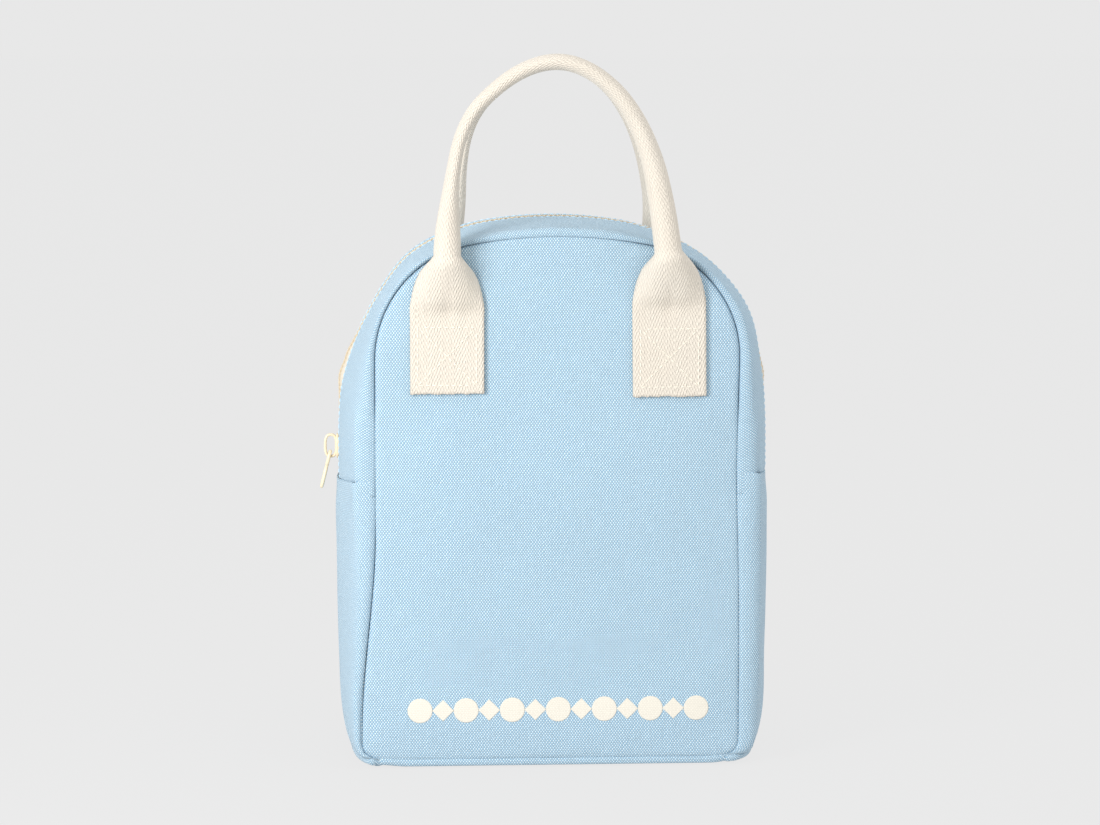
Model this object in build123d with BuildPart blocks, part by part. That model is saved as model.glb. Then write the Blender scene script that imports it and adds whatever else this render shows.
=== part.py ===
"""A soft zip-top lunch bag of heavy cotton canvas, with a lining, two side pockets and two webbing handles.

The frame: origin on the ground under the middle of the base, +X to the right as the front is looked at,
+Y to the back, +Z up. Sizes are in millimetres. The front panel faces -Y, and the zip runs over the top in
the plane Y = 0, from one side pocket's mouth to the other's. "Left" is the -X side, where the slider closes.
"""
from build123d import *
from math import cos, radians, sin, sqrt
import os

# Driving dimensions
HALF_DEPTH = 57.5           # from the zip to the seam of the front or back panel
SEAM_HALF_WIDTH = 94.5      # half the width of the front and back panels
SEAM_TOP = 277.0            # top of those panels
SEAM_SHOULDER = 60.0        # radius of their round shoulders
SEAM_CROWN = 245.0          # radius of their slightly domed top edge
ZIP_HALF_WIDTH = 114.5      # the same four, where the gusset bulges most, at the zip
ZIP_TOP = 285.0
ZIP_SHOULDER = 95.0
ZIP_CROWN = 215.0
FOLD = 148.0                # height of the pockets' mouths, the zip's ends and the front's folding line
FOLD_GAP = 0.3              # slit at that line between the folding front and the rest
STRIP_FOOT = FOLD + FOLD_GAP / 2
RIM = 6.0                   # height of the base panel's turned-up edge
CANVAS = 1.4                # thickness of the outer canvas
LINING = 0.5                # thickness of the coated lining
SKIN_GAP = 0.05             # between two layers that lie on each other
BAND_MIDDLE = 0.8           # how much of its bulge the gusset has halfway between the panel seam and the zip
CUT_ROOM = 5.0              # how much further down an arch's cut-out reaches than the arch

# The zip
ZIP_OPENING = 18.0          # between the two canvas edges that the zip fills
ZIP_DEPTH = 2.5             # from the canvas's outer face to the middle of the tape
TAPE = 0.7
TAPE_REACH = 13.0           # from the zip's middle to the tape's sewn edge
TEETH_WIDTH = 2.4           # one row
TEETH_HEIGHT = 2.3
TEETH_START = FOLD + 14.0   # the lowest tooth, inside the closed slider
STOP_HEIGHT = 3.0
STOP_CORNER = 0.6
TEETH_GAP = 0.2             # from the zip's middle to a row of teeth
TAPE_GAP = 0.15             # from a row of teeth to its tape

# The slider, its crown and its pull
SLIDER_LENGTH = 13.0
SLIDER_WIDTH = 9.5
SLIDER_PLATE = 1.3
SLIDER_CHANNEL = 2.8        # clear height between its two plates
SLIDER_Z = FOLD + 15.0      # its middle, in the closed position
CROWN_LENGTH = 13.0
CROWN_REACH = 6.5           # how far the crown stands out from the slider
CROWN_WIRE = 1.8
CROWN_WIDTH = 2.4
CROWN_CORNER = 2.4
PULL_LENGTH = 21.0
PULL_WIDTH = 6.0
PULL_THICKNESS = 2.0
PULL_EYE = 7.0
PULL_LEAN = 14.0            # degrees that the hanging pull is held away from the pocket's edge

# The handles
WEB_WIDTH = 38.0            # flat webbing
WEB = 3.0                   # its thickness where it is sewn down
WEB_FOOT = 196.0            # its lower end
WEB_NECK = 240.0            # where it starts to roll up
GRIP = 10.4                 # diameter of the rolled handle
GRIP_Y = 65.0               # how far out the rolled handle stands
GRIP_START = 262.0          # where it is fully rolled
HANDLE_HALF_SPAN = 57.5
HINGE_Z = 278.0             # the line that a handle flops about
HINGE_CLEAR = 4.0           # the webbing left out above and below that line
ARCH_START = 285.0          # the legs are straight up to here
ARCH_TIP = 36.0             # radius of the handle's top
HANDLE_TOP = 367.5          # its middle line there
THREAD = 0.8

# The pockets and side walls: (height, bulge at the middle of the depth)
SIDE_BULGES = ((RIM, 12.0), (34.0, 9.0), (104.0, 8.0), (130.0, 11.0), (FOLD - FOLD_GAP / 2, 16.5))
POCKET_BULGES = ((RIM, 13.0), (34.0, 19.5), (88.0, 22.5), (FOLD - FOLD_GAP / 2, 23.0))
POCKET_SEAM = SEAM_HALF_WIDTH + CANVAS + SKIN_GAP

os.makedirs("parts", exist_ok=True)


def save(part, label):
    """Name one finished sub-part and write it."""
    part.label = label
    export_step(part, f"parts/{label}.step")


def draw_arch(share, inset=0.0, foot=0.0):
    """Draw the bag's outline from the front, at a panel seam (share 0), at the zip (1) or between them."""
    half_width = SEAM_HALF_WIDTH + share * (ZIP_HALF_WIDTH - SEAM_HALF_WIDTH) - inset
    top = SEAM_TOP + share * (ZIP_TOP - SEAM_TOP) - inset
    shoulder = SEAM_SHOULDER + share * (ZIP_SHOULDER - SEAM_SHOULDER) - inset
    crown = SEAM_CROWN + share * (ZIP_CROWN - SEAM_CROWN) - inset
    centre_x = half_width - shoulder
    centre_z = top - crown + sqrt((crown - shoulder) ** 2 - centre_x**2)
    reach = crown / (crown - shoulder)
    join_x = centre_x * reach
    join_z = top - crown + (centre_z - top + crown) * reach
    with BuildLine() as outline:
        Line((-half_width, foot), (half_width, foot))
        Line((half_width, foot), (half_width, centre_z))
        TangentArc((half_width, centre_z), (join_x, join_z), tangent=(0, 1))
        ThreePointArc((join_x, join_z), (0, top), (-join_x, join_z))
        TangentArc((-half_width, centre_z), (-join_x, join_z), tangent=(0, 1))
        Line((-half_width, centre_z), (-half_width, foot))
    make_face(outline.edges())


def make_band(inset, thickness, near):
    """Make the front half of the gusset above the fold, bulging from the panel seam to near the zip."""
    with BuildPart() as band:
        outer = (STRIP_FOOT, 0.0, Mode.ADD)
        inner = (STRIP_FOOT - CUT_ROOM, thickness, Mode.SUBTRACT)
        for depth, wall, mode in (outer, inner):
            for share, y in ((0.0, HALF_DEPTH), (BAND_MIDDLE, HALF_DEPTH / 2), (1.0, 0.0)):
                with BuildSketch(Plane.XZ.offset(y)):
                    draw_arch(share, inset + wall, depth)
            loft(mode=mode)
        split(bisect_by=Plane.XZ.offset(near), keep=Keep.TOP)
    return band.part


def make_zip_strip(inset, thickness, near, far, foot):
    """Make a thin arch that follows the zip, between two distances in front of it."""
    with BuildPart() as strip:
        with BuildSketch(Plane.XZ.offset(near)):
            draw_arch(1.0, inset, foot)
        extrude(amount=far - near)
        with BuildSketch(Plane.XZ.offset(near)):
            draw_arch(1.0, inset + thickness, foot - CUT_ROOM)
        extrude(amount=far - near, mode=Mode.SUBTRACT)
    return strip.part


def draw_wall(seam_x, bulge, thickness):
    """Draw a side wall's horizontal section: a thin strip that bows outwards between the two panel seams."""
    with BuildLine() as outline:
        ThreePointArc((seam_x, -HALF_DEPTH), (seam_x + bulge, 0), (seam_x, HALF_DEPTH))
        Line((seam_x, HALF_DEPTH), (seam_x - thickness, HALF_DEPTH))
        ThreePointArc(
            (seam_x - thickness, HALF_DEPTH),
            (seam_x + bulge - thickness, 0),
            (seam_x - thickness, -HALF_DEPTH),
        )
        Line((seam_x - thickness, -HALF_DEPTH), (seam_x, -HALF_DEPTH))
    make_face(outline.edges())


def make_wall(seam_x, bulges, thickness):
    """Make the right-hand side wall, pocket or lining from its sections."""
    with BuildPart() as wall:
        for height, bulge in bulges:
            with BuildSketch(Plane.XY.offset(height)):
                draw_wall(seam_x, bulge, thickness)
        loft()
    return wall.part


def draw_base(half_length, end_bulge, half_depth):
    """Draw the base's outline: straight at the front and back, bowed at the two ends."""
    with BuildLine() as outline:
        Line((-half_length, -half_depth), (half_length, -half_depth))
        ThreePointArc((half_length, -half_depth), (half_length + end_bulge, 0), (half_length, half_depth))
        Line((half_length, half_depth), (-half_length, half_depth))
        ThreePointArc((-half_length, half_depth), (-half_length - end_bulge, 0), (-half_length, -half_depth))
    make_face(outline.edges())


def keep_between(low, high):
    """Keep what lies between two heights."""
    split(bisect_by=Plane.XY.offset(low), keep=Keep.TOP)
    split(bisect_by=Plane.XY.offset(high), keep=Keep.BOTTOM)


def save_with_mirror(part, label, about, mirror_label):
    """Write a sub-part and its mirrored twin."""
    with BuildPart() as twin:
        add(part)
        mirror(about=about, mode=Mode.REPLACE)
    save(part, label)
    save(twin.part, mirror_label)


# The base: a flat panel whose edge turns up to the seam with the walls
BASE_HALF_LENGTH, BASE_BULGE = SEAM_HALF_WIDTH - RIM, 10.0
BASE_HALF_DEPTH = HALF_DEPTH - 2.0      # the turned-up edge leans out a little
RIM_BULGE = SIDE_BULGES[0][1]
with BuildPart() as base_panel:
    with BuildSketch():
        draw_base(BASE_HALF_LENGTH, BASE_BULGE, BASE_HALF_DEPTH)
    with BuildSketch(Plane.XY.offset(RIM)):
        draw_base(SEAM_HALF_WIDTH, RIM_BULGE, HALF_DEPTH)
    loft(ruled=True)
    with BuildSketch(Plane.XY.offset(CANVAS)):
        draw_base(BASE_HALF_LENGTH - CANVAS / 2, BASE_BULGE, BASE_HALF_DEPTH - CANVAS / 2)
    with BuildSketch(Plane.XY.offset(RIM)):
        draw_base(SEAM_HALF_WIDTH - CANVAS, RIM_BULGE, HALF_DEPTH - CANVAS)
    loft(ruled=True, mode=Mode.SUBTRACT)
save(base_panel.part, "base_panel")

with BuildPart() as base_lining:
    with BuildSketch(Plane.XY.offset(CANVAS)):
        draw_base(BASE_HALF_LENGTH - 2 * CANVAS, BASE_BULGE, BASE_HALF_DEPTH - 2 * CANVAS)
    extrude(amount=LINING)
save(base_lining.part, "base_lining")

# The back panel and its lining, then the front ones, which are cut at the fold
with BuildPart() as back_panel:
    with BuildSketch(Plane.XZ.offset(-HALF_DEPTH)):
        draw_arch(0.0, foot=RIM)
    extrude(amount=-CANVAS)
save(back_panel.part, "back_panel")

LINING_INSET = CANVAS + LINING + 2 * SKIN_GAP
with BuildPart() as back_lining:
    with BuildSketch(Plane.XZ.offset(-HALF_DEPTH)):
        draw_arch(0.0, LINING_INSET, RIM)
    extrude(amount=LINING)
save(back_lining.part, "back_lining")

for name, inset, face_y, thickness in (
    ("front_panel", 0.0, HALF_DEPTH, CANVAS),
    ("front_lining", LINING_INSET, HALF_DEPTH, -LINING),
):
    for half, low, high in (
        ("lower", RIM, FOLD - FOLD_GAP / 2),
        ("upper", FOLD + FOLD_GAP / 2, SEAM_TOP),
    ):
        with BuildPart() as front_piece:
            with BuildSketch(Plane.XZ.offset(face_y)):
                draw_arch(0.0, inset, RIM)
            extrude(amount=thickness)
            keep_between(low, high)
        save(front_piece.part, f"{name}_{half}")

# The side walls below the fold, their lining, and the slip pockets over them
for name, seam_x, bulges, thickness in (
    ("side_panel", SEAM_HALF_WIDTH, SIDE_BULGES, CANVAS),
    ("side_lining", SEAM_HALF_WIDTH - CANVAS - SKIN_GAP, SIDE_BULGES, LINING),
    ("side_pocket", POCKET_SEAM, POCKET_BULGES, CANVAS),
):
    save_with_mirror(make_wall(seam_x, bulges, thickness), f"right_{name}", Plane.YZ, f"left_{name}")

# The gusset strips over the top, one each side of the zip, and their linings
gusset_strip = make_band(0.0, CANVAS, ZIP_OPENING / 2)
save_with_mirror(gusset_strip, "front_gusset_strip", Plane.XZ, "back_gusset_strip")
gusset_lining = make_band(CANVAS + SKIN_GAP, LINING, TAPE_REACH + 1.0)
save_with_mirror(gusset_lining, "front_gusset_lining", Plane.XZ, "back_gusset_lining")

# The zip: two tapes, two rows of teeth and the two crimped stops at its ends
zip_tape = make_zip_strip(ZIP_DEPTH - TAPE / 2, TAPE, TEETH_WIDTH + TAPE_GAP, TAPE_REACH, STRIP_FOOT)
save_with_mirror(zip_tape, "front_zip_tape", Plane.XZ, "back_zip_tape")
zip_teeth = make_zip_strip(ZIP_DEPTH - TEETH_HEIGHT / 2, TEETH_HEIGHT, TEETH_GAP, TEETH_WIDTH, TEETH_START)
save_with_mirror(zip_teeth, "front_zip_teeth", Plane.XZ, "back_zip_teeth")

TRACK_X = ZIP_HALF_WIDTH - ZIP_DEPTH
with BuildPart() as zip_end_stops:
    with Locations((TRACK_X, 0, STRIP_FOOT + STOP_HEIGHT / 2), (-TRACK_X, 0, STRIP_FOOT + STOP_HEIGHT / 2)):
        Box(TEETH_HEIGHT, 2 * TEETH_WIDTH, STOP_HEIGHT)
    fillet(zip_end_stops.edges().filter_by(Axis.Z), STOP_CORNER)
save(zip_end_stops.part, "zip_end_stops")

# The slider, drawn with its face to -X: two plates joined by a wedge, with lips that hold the rows of teeth
PLATE_MIDDLE = (SLIDER_CHANNEL + SLIDER_PLATE) / 2
PLATE_CORNER = 2.2
LIP, LIP_LENGTH = 0.7, 8.0
WEDGE_LENGTH, WEDGE_WIDTH, WEDGE_START = 4.0, 2.6, 0.5
with BuildPart() as slider_body:
    for side in (-1, 1):
        with BuildSketch(Plane.YZ.offset(-TRACK_X + side * PLATE_MIDDLE - SLIDER_PLATE / 2)):
            with Locations((0, SLIDER_Z)):
                RectangleRounded(SLIDER_WIDTH, SLIDER_LENGTH, PLATE_CORNER)
        extrude(amount=SLIDER_PLATE)
        for edge in (-1, 1):
            lip_x = -TRACK_X + side * (SLIDER_CHANNEL - LIP) / 2
            with Locations((lip_x, edge * (SLIDER_WIDTH - LIP) / 2, SLIDER_Z)):
                Box(LIP, LIP, LIP_LENGTH)
    with Locations((-TRACK_X, 0, SLIDER_Z - SLIDER_LENGTH / 2 + WEDGE_LENGTH / 2 + WEDGE_START)):
        Box(SLIDER_CHANNEL, WEDGE_WIDTH, WEDGE_LENGTH)
save(slider_body.part, "slider_body")

SLIDER_FACE = -TRACK_X - PLATE_MIDDLE - SLIDER_PLATE / 2
with BuildPart() as slider_crown:
    with BuildSketch(Plane.XZ.offset(-CROWN_WIDTH / 2)):
        with Locations((SLIDER_FACE - CROWN_REACH / 2, SLIDER_Z)):
            RectangleRounded(CROWN_REACH, CROWN_LENGTH, CROWN_CORNER)
        with Locations((SLIDER_FACE - CROWN_REACH / 2 + CROWN_WIRE / 2, SLIDER_Z)):
            Rectangle(CROWN_REACH - CROWN_WIRE, CROWN_LENGTH - 2 * CROWN_WIRE, mode=Mode.SUBTRACT)
    extrude(amount=CROWN_WIDTH)
save(slider_crown.part, "slider_crown")

# The pull: a flat tab with an eye that the crown runs through, held off the pocket's edge by its lean
PULL_BAR = 1.6
PULL_CORNER, EYE_CORNER, PULL_EDGE = 1.6, 0.8, 0.5
EYE_WIDTH = 3.4
PIVOT_ROOM = 0.7
PIVOT_X = SLIDER_FACE - (CROWN_REACH - CROWN_WIRE) / 2 - PIVOT_ROOM
PIVOT_Z = SLIDER_Z - CROWN_LENGTH / 2 + CROWN_WIRE + PULL_THICKNESS / 2 + PIVOT_ROOM
with BuildPart() as pull_tab:
    with BuildSketch(Plane.YZ.offset(-PULL_THICKNESS / 2)):
        with Locations((0, PULL_BAR / 2 - PULL_LENGTH / 2)):
            RectangleRounded(PULL_WIDTH, PULL_LENGTH, PULL_CORNER)
        with Locations((0, -PULL_BAR / 2 - PULL_EYE / 2)):
            RectangleRounded(EYE_WIDTH, PULL_EYE, EYE_CORNER, mode=Mode.SUBTRACT)
    extrude(amount=PULL_THICKNESS)
    fillet(pull_tab.faces().sort_by(Axis.X)[0].outer_wire().edges(), PULL_EDGE)
    fillet(pull_tab.faces().sort_by(Axis.X)[-1].outer_wire().edges(), PULL_EDGE)
pull_place = Plane(
    origin=(PIVOT_X, 0, PIVOT_Z),
    x_dir=(cos(radians(PULL_LEAN)), 0, -sin(radians(PULL_LEAN))),
    z_dir=(sin(radians(PULL_LEAN)), 0, cos(radians(PULL_LEAN))),
)
save(pull_place.location * pull_tab.part, "pull_tab")

# The handles: webbing sewn flat to a panel, rolling up into a round grip that loops over
PATCH_FACE = HALF_DEPTH + CANVAS + SKIN_GAP
PATCH_Y = PATCH_FACE + WEB / 2
# The rolled stretch starts a hair smaller, and no corner is a full half circle.
SHRINK, SOFTEN = 0.02, 0.1
with BuildPart() as handle_end:
    with Locations((HANDLE_HALF_SPAN, -PATCH_Y, (WEB_FOOT + WEB_NECK) / 2)):
        Box(WEB_WIDTH, WEB, WEB_NECK - WEB_FOOT)
    with BuildSketch(Plane.XY.offset(WEB_NECK)):
        with Locations((HANDLE_HALF_SPAN, -PATCH_Y)):
            RectangleRounded(WEB_WIDTH - SHRINK, WEB - SHRINK, WEB / 2 - SOFTEN)
    with BuildSketch(Plane.XY.offset(GRIP_START)):
        with Locations((HANDLE_HALF_SPAN, -GRIP_Y)):
            RectangleRounded(GRIP, GRIP, GRIP / 2 - SOFTEN)
    loft()
    with Locations((HANDLE_HALF_SPAN, -GRIP_Y, GRIP_START)):
        Cylinder(
            GRIP / 2,
            HINGE_Z - HINGE_CLEAR - GRIP_START,
            align=(Align.CENTER, Align.CENTER, Align.MIN),
        )
with BuildPart() as left_handle_end:
    add(handle_end.part)
    mirror(about=Plane.YZ, mode=Mode.REPLACE)
save_with_mirror(handle_end.part, "front_handle_right_end", Plane.XZ, "back_handle_right_end")
save_with_mirror(left_handle_end.part, "front_handle_left_end", Plane.XZ, "back_handle_left_end")

# The loop is made over the zip and then put in its two places
ARCH_RISE = HANDLE_TOP - ARCH_TIP - ARCH_START
ARCH_SIDE = (HANDLE_HALF_SPAN**2 + ARCH_RISE**2 - ARCH_TIP**2) / (2 * (HANDLE_HALF_SPAN - ARCH_TIP))
side_share = ARCH_SIDE / (ARCH_SIDE - ARCH_TIP)
TIP_X = HANDLE_HALF_SPAN - ARCH_SIDE + (ARCH_SIDE - HANDLE_HALF_SPAN) * side_share
TIP_Z = ARCH_START + ARCH_RISE * side_share
LOOP_START = HINGE_Z + HINGE_CLEAR
with BuildPart() as handle_loop:
    with BuildLine(Plane.XZ) as loop_path:
        Line((HANDLE_HALF_SPAN, LOOP_START), (HANDLE_HALF_SPAN, ARCH_START))
        TangentArc((HANDLE_HALF_SPAN, ARCH_START), (TIP_X, TIP_Z), tangent=(0, 1))
        ThreePointArc((TIP_X, TIP_Z), (0, HANDLE_TOP), (-TIP_X, TIP_Z))
        TangentArc((-HANDLE_HALF_SPAN, ARCH_START), (-TIP_X, TIP_Z), tangent=(0, 1))
        Line((-HANDLE_HALF_SPAN, ARCH_START), (-HANDLE_HALF_SPAN, LOOP_START))
    with BuildSketch(Plane.XY.offset(LOOP_START)):
        with Locations((HANDLE_HALF_SPAN, 0)):
            Circle(GRIP / 2)
    sweep(path=loop_path.wire())
save(Location((0, -GRIP_Y, 0)) * handle_loop.part, "front_handle_loop")
save(Location((0, GRIP_Y, 0)) * handle_loop.part, "back_handle_loop")

# The stitching that holds each webbing end: a box with a cross in it
STITCH_WIDTH, STITCH_LOW, STITCH_HIGH = 30.0, 202.0, 232.0
STITCH_HEIGHT = STITCH_HIGH - STITCH_LOW
with BuildPart() as handle_stitching:
    with BuildSketch(Plane.XZ.offset(PATCH_FACE + WEB)):
        with Locations(
            (-HANDLE_HALF_SPAN, (STITCH_LOW + STITCH_HIGH) / 2),
            (HANDLE_HALF_SPAN, (STITCH_LOW + STITCH_HIGH) / 2),
        ):
            Rectangle(STITCH_WIDTH, STITCH_HEIGHT)
            Rectangle(STITCH_WIDTH - 2 * THREAD, STITCH_HEIGHT - 2 * THREAD, mode=Mode.SUBTRACT)
            Rectangle(STITCH_WIDTH * sqrt(2) - 2 * THREAD, THREAD, rotation=45)
            Rectangle(STITCH_WIDTH * sqrt(2) - 2 * THREAD, THREAD, rotation=-45)
    extrude(amount=THREAD / 2)
save_with_mirror(handle_stitching.part, "front_handle_stitching", Plane.XZ, "back_handle_stitching")

# The slip pocket inside, sewn to the back lining at its sides and bottom
POCKET_X, POCKET_LOW, POCKET_HIGH = 62.0, 42.0, 132.0
POCKET_GAP, POCKET_SKIN, POCKET_HEM = 0.8, 0.6, 3.0
back_face = HALF_DEPTH - LINING - SKIN_GAP
with BuildPart() as inner_pocket:
    with Locations((0, back_face - (POCKET_GAP + POCKET_SKIN) / 2, (POCKET_LOW + POCKET_HIGH) / 2)):
        Box(2 * POCKET_X, POCKET_GAP + POCKET_SKIN, POCKET_HIGH - POCKET_LOW)
    with Locations((0, back_face - POCKET_GAP / 2, (POCKET_LOW + POCKET_HIGH) / 2 + POCKET_HEM)):
        Box(2 * (POCKET_X - POCKET_HEM), POCKET_GAP, POCKET_HIGH - POCKET_LOW, mode=Mode.SUBTRACT)
save(inner_pocket.part, "inner_pocket")

# The print low on the front: a plain row of discs and diamonds in ink
INK = 0.2
PRINT_Z, PRINT_STEP, PRINT_COUNT = 31.0, 24.0, 7
DISC, DIAMOND = 6.5, 8.0
with BuildPart() as front_print:
    with BuildSketch(Plane.XZ.offset(HALF_DEPTH + CANVAS)):
        with Locations((0, PRINT_Z)):
            with GridLocations(PRINT_STEP, 1, PRINT_COUNT, 1):
                Circle(DISC)
            with GridLocations(PRINT_STEP, 1, PRINT_COUNT - 1, 1):
                Rectangle(DIAMOND / sqrt(2), DIAMOND / sqrt(2), rotation=45)
    extrude(amount=INK)
save(front_print.part, "front_print")
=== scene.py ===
import math
import random

import bmesh
import bpy
import numpy as np
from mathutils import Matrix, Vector


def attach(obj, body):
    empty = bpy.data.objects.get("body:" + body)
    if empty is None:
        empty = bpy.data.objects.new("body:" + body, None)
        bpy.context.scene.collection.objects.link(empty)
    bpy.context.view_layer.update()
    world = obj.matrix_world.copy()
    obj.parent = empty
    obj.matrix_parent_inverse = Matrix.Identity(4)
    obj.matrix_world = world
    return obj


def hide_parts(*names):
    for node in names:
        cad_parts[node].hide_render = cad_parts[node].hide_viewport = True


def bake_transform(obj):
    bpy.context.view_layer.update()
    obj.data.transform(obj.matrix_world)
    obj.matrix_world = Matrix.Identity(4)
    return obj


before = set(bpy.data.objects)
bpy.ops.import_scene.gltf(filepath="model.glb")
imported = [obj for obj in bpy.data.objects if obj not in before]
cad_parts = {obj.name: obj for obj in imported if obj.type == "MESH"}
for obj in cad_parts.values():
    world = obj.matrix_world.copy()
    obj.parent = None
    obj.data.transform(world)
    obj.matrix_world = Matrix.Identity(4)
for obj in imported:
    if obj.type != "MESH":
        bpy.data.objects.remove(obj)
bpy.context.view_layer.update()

MM = 0.001
bpy.context.scene.view_settings.view_transform = "Standard"

# ---------------------------------------------------------------- camera
camera = bpy.data.objects.new("camera", bpy.data.cameras.new("camera"))
bpy.context.scene.collection.objects.link(camera)
camera.location = (-0.1109, -1.8291, 0.3850)
camera.rotation_euler = (math.radians(90 - 6.39), 0, math.radians(-3.445))
camera.data.sensor_width = 36
camera.data.lens = 113.27
camera.data.clip_end = 50
bpy.context.scene.camera = camera

# ---------------------------------------------------------------- sizes of the bag, in mm
MID_Z = 140.0                   # middle of the front panel's height
SEAM_DEPTH = 55.0               # from the zip's plane to the bottom of the seam groove
HALF_WIDTH = 94.5               # of the front panel at its seam
SEAM = dict(half_width=HALF_WIDTH, top=277.0, shoulder=60.0, crown=245.0)
CREST = dict(half_width=113.6, top=285.0, shoulder=95.0, crown=215.0)
ARCH_FOOT = 143.0               # height where the gusset strips and tapes begin, under the pocket mouths
FOLD = 148.0                    # height of the zip's ends, where the front folds
PANEL_FOOT = 14.0               # height where a panel's sides run into its lower corners
PANEL_BOTTOM = 4.4
STRIP_EDGE = 9.0                # from the zip's middle to the folded edge of the canvas
CANVAS, STRIP, POCKET, LINING = 1.0, 0.9, 0.8, 0.4      # thicknesses of the cloths
WEB_WIDTH, WEB = 38.0, 2.2      # width and thickness of the handle webbing
HANDLE_X = 57.3                 # from the bag's middle to the webbing's sewn ends
BACK_SHIFT = 3.5                # how much farther to the right the back handle is sewn
HEMS = {-1: 151.0, 1: 154.0}    # height of the left and right pocket mouths at their ends
HEM_DIP = 5.0                   # how much lower they are in the middle
TRACK = 111.9                   # from the bag's middle to the tape, where the slider runs

# where the front cloth starts to fold and from where it follows the mouth, in metres; nothing in this script
# reads these points, so the cloth is not folded
MOUTH = dict(start=(0, 0, 0.148), end=(0, -0.0537, 0.2017))
MOUTH_BLEND = (("bag", "front_top"), MOUTH)
# across a side, from its seam to the zip's middle: (distance from the zip's plane, share of the bulge)
ACROSS = ((SEAM_DEPTH, 0.0), (56.7, 0.03), (57.8, 0.09), (58.1, 0.19), (57.5, 0.30), (55.6, 0.42),
          (51.8, 0.54), (45.5, 0.66), (37, 0.77), (28, 0.865), (18, 0.94), (9, 0.985), (0, 1.0))
SIDES = ((-1, "front"), (1, "back"))
ENDS = ((-1, "left"), (1, "right"))


def smooth(t):
    """0 below 0, 1 above 1, and a soft step between."""
    t = np.clip(t, 0, 1)
    return t * t * (3 - 2 * t)


def bell(t):
    return np.exp(-t ** 2)


def around(count):
    """Angles of count points evenly round a circle."""
    return np.linspace(0, 2 * math.pi, count, endpoint=False)


def spline(knots, count):
    """Catmull-Rom through the knots, evenly spaced along its length."""
    k = np.array(knots, float)
    k = np.vstack([2 * k[0] - k[1], k, 2 * k[-1] - k[-2]])
    t = np.linspace(0, 1, 12, endpoint=False)[:, None]
    runs = []
    for a, b, c, d in zip(k, k[1:], k[2:], k[3:]):
        runs.append(0.5 * (2 * b + (c - a) * t + (2 * a - 5 * b + 4 * c - d) * t ** 2
                           + (3 * b - a - 3 * c + d) * t ** 3))
    return even(np.vstack(runs + [k[-2:-1]]), count)


def sample(at, along, line):
    """Points at the distances at, on a line whose own points lie along."""
    return stacked(*(np.interp(at, along, column) for column in line.T))


def even(line, count):
    """The same line with count points, evenly spaced."""
    along = length_along(line)
    at = np.linspace(0, along[-1], count)
    return sample(at, along, line)


def stacked(*parts):
    """The parts as the last axis of one array."""
    return np.stack(np.broadcast_arrays(*parts), axis=-1)


def length_along(line):
    """How far each point lies from the line's first."""
    steps = np.linalg.norm(np.diff(line, axis=0), axis=1)
    return np.concatenate([[0], np.cumsum(steps)])


def lengths_across(points):
    """How far each point of a grid lies from its row's first point, along the surface."""
    gaps = np.linalg.norm(np.diff(points, axis=1), axis=2)
    return np.concatenate([np.zeros((len(points), 1)), np.cumsum(gaps, axis=1)], axis=1)


def ripple(x, z, size, seed, waves=7):
    """A smooth random height field, about -1 to 1, whose hills are about size across."""
    rng = np.random.default_rng(seed)
    total = 0
    for _ in range(waves):
        turn = rng.uniform(0, 2 * math.pi)
        phase = rng.uniform(0, 2 * math.pi)
        stretch = rng.uniform(0.7, 1.5)
        k = 2 * math.pi / (size * 2 * stretch)
        total = total + np.sin(k * (x * math.cos(turn) + z * math.sin(turn)) + phase)
    return total / math.sqrt(waves * 2)


# ---------------------------------------------------------------- the bag's outlines
def arch(half_width, top, shoulder, crown, foot, count):
    """(x, z) points and outward normals of an arch, from its left foot over the top to its right foot."""
    cx = half_width - shoulder
    low = top - crown
    cz = low + math.sqrt((crown - shoulder) ** 2 - cx ** 2)
    turn = math.atan2(cz - low, cx)
    side, curve, cap = cz - foot, shoulder * turn, crown * (math.pi / 2 - turn)
    s = np.linspace(-1, 1, count) * (side + curve + cap)
    d = side + curve + cap - np.abs(s)
    on_cap = d >= side + curve
    angle = np.where(on_cap, turn + (d - side - curve) / crown, np.clip((d - side) / shoulder, 0, turn))
    radius = np.where(on_cap, crown, shoulder)
    x = np.where(on_cap, 0, cx) + radius * np.cos(angle)
    z = np.where(on_cap, low, cz) + radius * np.sin(angle) - np.maximum(side - d, 0)
    sign = np.sign(s + 1e-9)
    return stacked(x * sign, z), stacked(np.cos(angle) * sign, np.sin(angle))


def seam_drift(x, z):
    """Low on the left the seam wanders outwards; on the right it is a little tucked in."""
    left = -8.0 * smooth((125 - z) / 110)
    right = -1.6 * bell((z - 155) / 45)
    return np.where(x < 0, left, right) * np.clip(np.abs(x) / HALF_WIDTH, 0, 1) ** 2


def groove(x, z):
    """How deep the seam groove is: deep round the shoulders and low on the left, shallow elsewhere."""
    left = 0.40 + 0.60 * np.clip(smooth((z - 178) / 16) + smooth((140 - z) / 30), 0, 1)
    right = 0.45 + 0.55 * smooth((z - 172) / 22)
    top = 0.30 + 0.70 * smooth((np.abs(x) - 22) / 34)
    side = np.where(x < 0, left, right)
    share = side + (top - side) * smooth((z - 255) / 12)
    return share + (0.55 - share) * smooth((9 - z) / 4)


def crest_lean(x, z):
    """The crest is a little slimmer than its arch at the shoulders, and leans to the right there."""
    slim = -2.0 * bell((z - 212) / 24) + 2.0 * bell((z - 266) / 12)
    return np.sign(x) * slim + 3.8 * bell((z - 240) / 27)


def seam_arch(foot, count):
    points, normals = arch(**SEAM, foot=foot, count=count)
    points[:, 0] += seam_drift(points[:, 0], points[:, 1])
    return points, normals


def crest_arch(foot, count):
    points, normals = arch(**CREST, foot=foot, count=count)
    points[:, 0] += crest_lean(points[:, 0], points[:, 1])
    return points, normals


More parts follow.
